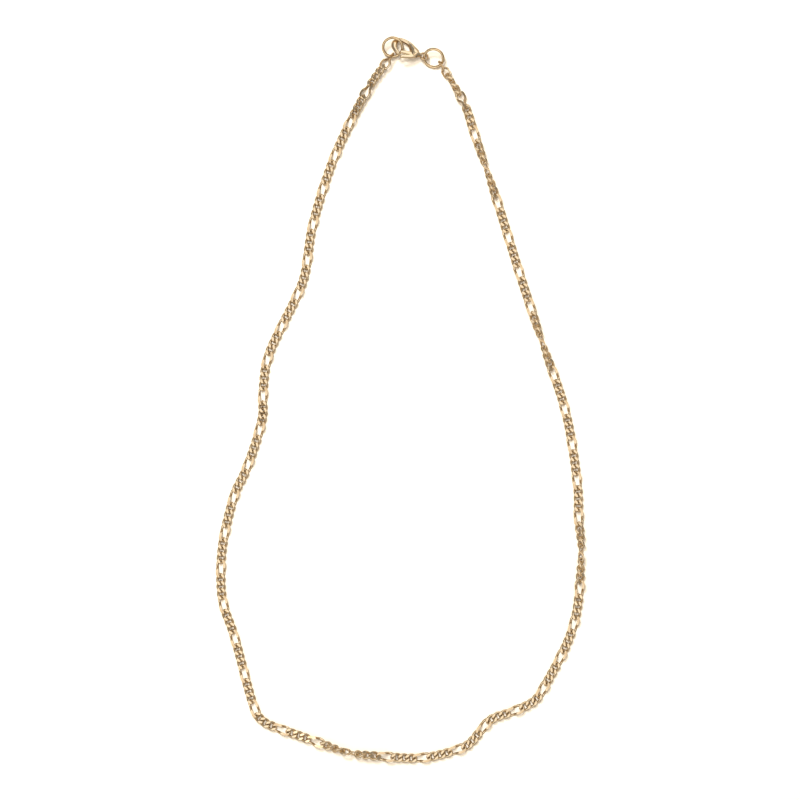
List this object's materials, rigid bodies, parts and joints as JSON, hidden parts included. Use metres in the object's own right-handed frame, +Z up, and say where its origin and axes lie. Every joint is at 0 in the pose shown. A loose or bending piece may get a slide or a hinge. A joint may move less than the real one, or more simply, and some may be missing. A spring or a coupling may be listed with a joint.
{
  "type": "figaro chain necklace",
  "caption": "Figaro chain necklace: long curb links alternate with groups of short ones, and a lobster clasp between two jump rings closes the loop.",
  "frame": {"origin": "middle of the necklace's outline on the surface it lies on", "axes": "+Z up from the surface, +Y from the front of the necklace towards the clasp, +X to the picture's right"},
  "size_m": [0.0958, 0.1882, 0.0041],
  "materials": {
    "gold": "polished"
  },
  "bodies": {
    "necklace": {"chain_left": "gold", "chain_right": "gold", "jump_ring_left": "gold", "jump_ring_right": "gold", "clasp_body": "gold", "clasp_pin": "gold"},
    "lever": {"clasp_lever": "gold"}
  },
  "joints": [
    {"name": "lever_pivot", "type": "hinge", "parent": "necklace", "child": "lever", "pos_m": [0.00373, 0.0894, 0.00225], "axis": [-0.2771, -0.4381, -0.8551], "range_deg": [0, 8], "stiffness_Nm_per_rad": 0.01}
  ]
}
